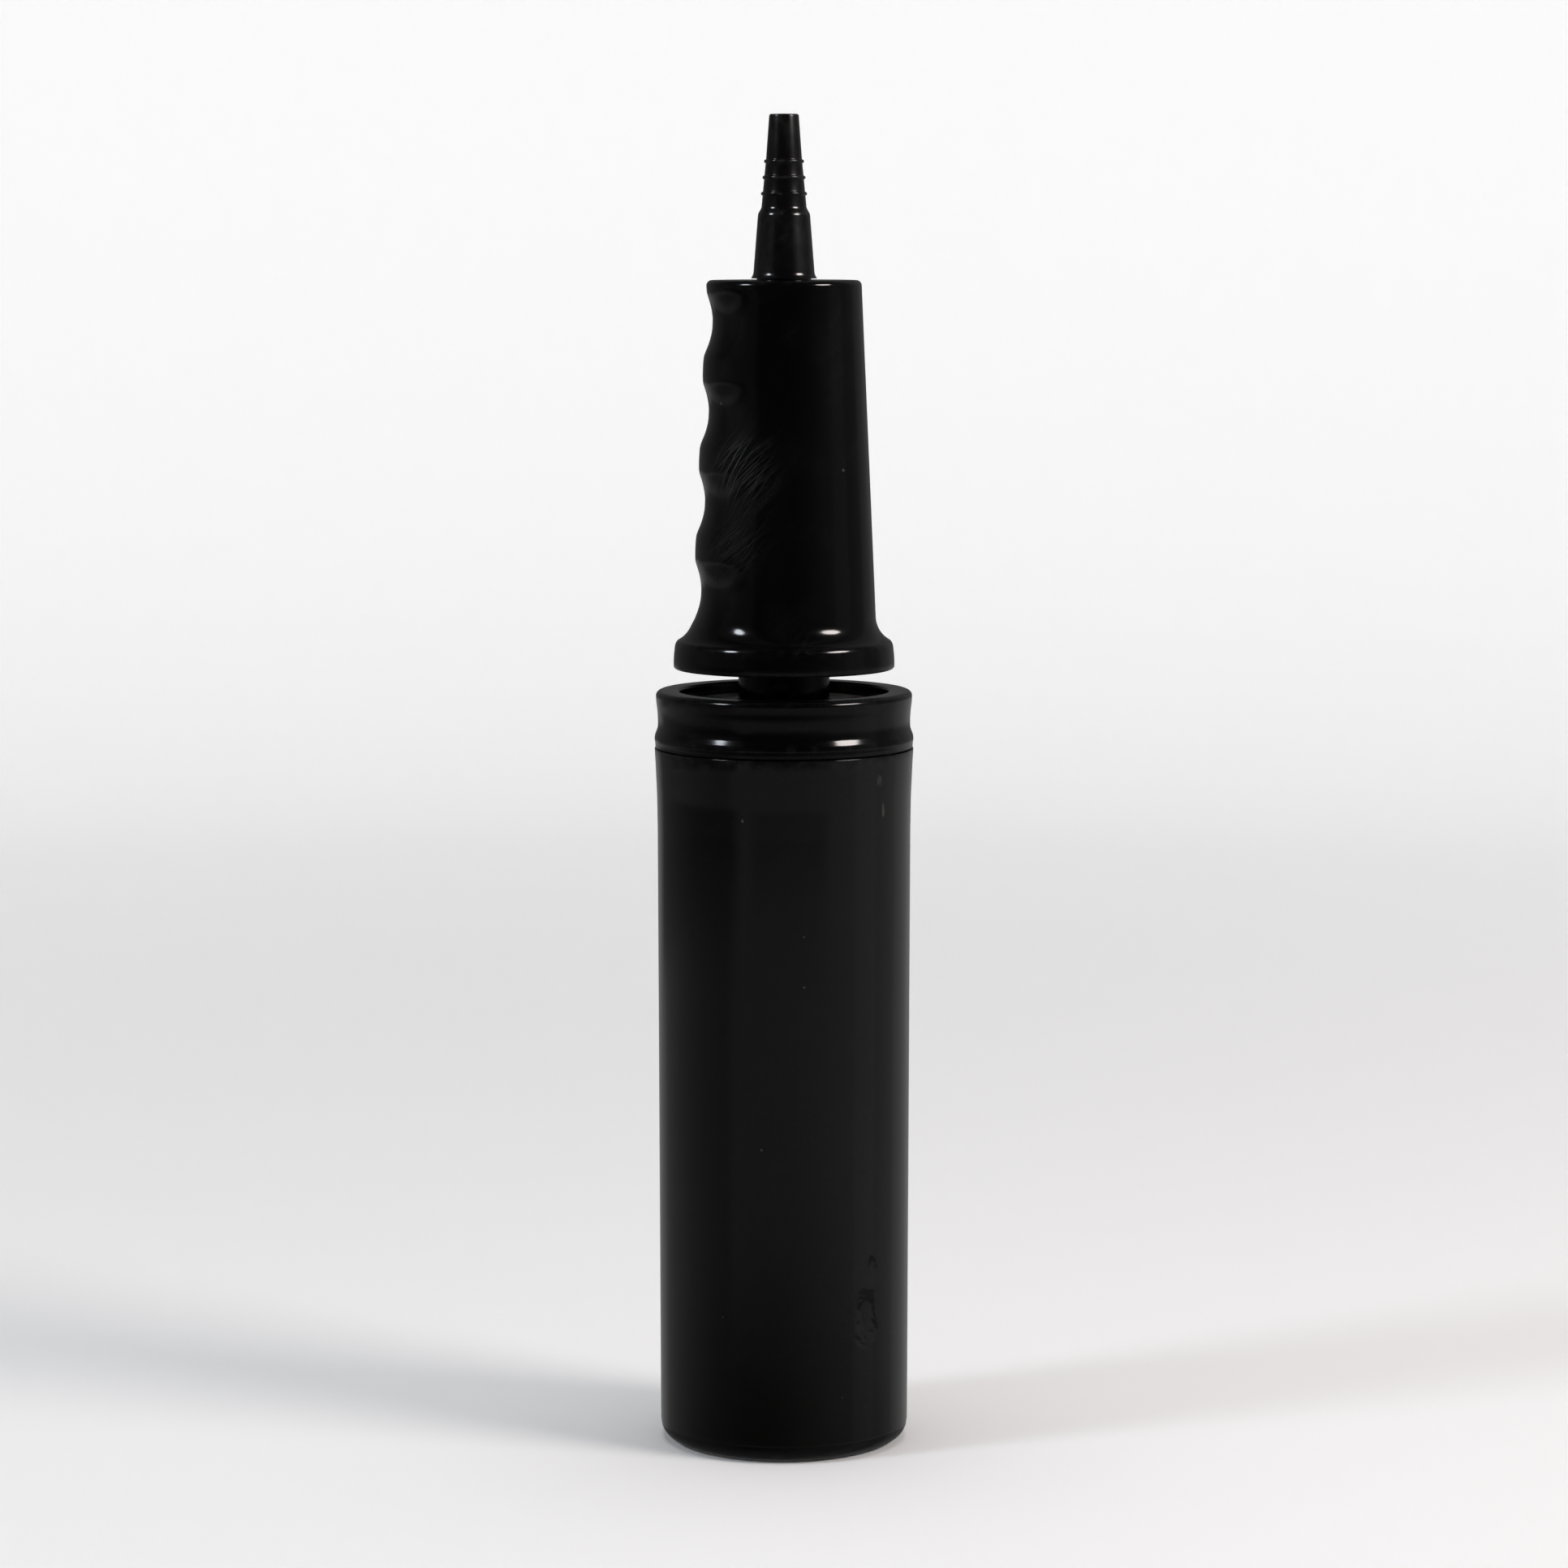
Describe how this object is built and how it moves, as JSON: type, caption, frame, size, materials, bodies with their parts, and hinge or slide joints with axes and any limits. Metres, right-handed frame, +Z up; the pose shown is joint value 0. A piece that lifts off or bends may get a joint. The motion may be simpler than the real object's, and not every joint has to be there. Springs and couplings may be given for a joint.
{
  "type": "ball inflation pump",
  "caption": "Upright two-way hand pump: a round barrel with a collar, a hollow plunger rod and a finger-grooved handle that carries a ringed taper nozzle.",
  "frame": {"origin": "centre of the foot ring, on the surface that the pump stands on", "axes": "+Z up along the pump's axis to the nozzle tip, -X towards the finger grooves of the handle, -Y towards the viewer of the picture"},
  "size_m": [0.05, 0.05, 0.2557],
  "materials": {
    "barrel_plastic": "satin charcoal black moulding with fine scuffs",
    "handle_plastic": "glossy black moulding",
    "guide_plastic": "smooth black moulding",
    "rod_plastic": "polished black tube",
    "nozzle_plastic": "glossy black moulding",
    "inner_plastic": "plain grey moulding",
    "seal_rubber": "greased black rubber"
  },
  "bodies": {
    "barrel": {"barrel": "barrel_plastic", "collar_cap": "handle_plastic", "collar_seal": "seal_rubber", "rod_guide": "guide_plastic", "rod_seal": "seal_rubber", "rod_seal_retainer": "inner_plastic", "flap_retainer": "inner_plastic", "foot_valve_cage": "inner_plastic"},
    "foot_valve_disc": {"foot_valve_disc": "seal_rubber"},
    "intake_flap": {"intake_flap": "seal_rubber"},
    "piston_seal": {"piston_seal": "seal_rubber"},
    "plunger": {"piston": "inner_plastic", "rod_tube": "rod_plastic", "air_tube": "inner_plastic", "handle_grip": "handle_plastic", "handle_base": "guide_plastic", "valve_block": "inner_plastic", "valve_block_seal": "seal_rubber", "valve_cage": "inner_plastic", "nozzle": "nozzle_plastic", "nozzle_seal": "seal_rubber"},
    "push_valve_disc": {"push_valve_disc": "seal_rubber"},
    "pull_valve_ring": {"pull_valve_ring": "seal_rubber"}
  },
  "joints": [
    {"name": "plunger_slide", "type": "slide", "parent": "barrel", "child": "piston_seal", "axis": [0, 0, 1], "range_m": [0, 0.097]},
    {"name": "plunger_turn", "type": "hinge", "parent": "piston_seal", "child": "plunger", "pos_m": [0, 0, 0], "axis": [0, 0, 1], "continuous": true},
    {"name": "foot_valve_lift", "type": "slide", "parent": "barrel", "child": "foot_valve_disc", "axis": [0, 0, 1], "range_m": [0, 0.0012]},
    {"name": "intake_flap_lift", "type": "slide", "parent": "barrel", "child": "intake_flap", "axis": [0, 0, 1], "range_m": [0, 0.001]},
    {"name": "push_valve_lift", "type": "slide", "parent": "plunger", "child": "push_valve_disc", "axis": [0, 0, 1], "range_m": [0, 0.0012]},
    {"name": "pull_valve_lift", "type": "slide", "parent": "plunger", "child": "pull_valve_ring", "axis": [0, 0, 1], "range_m": [0, 0.0012]}
  ]
}
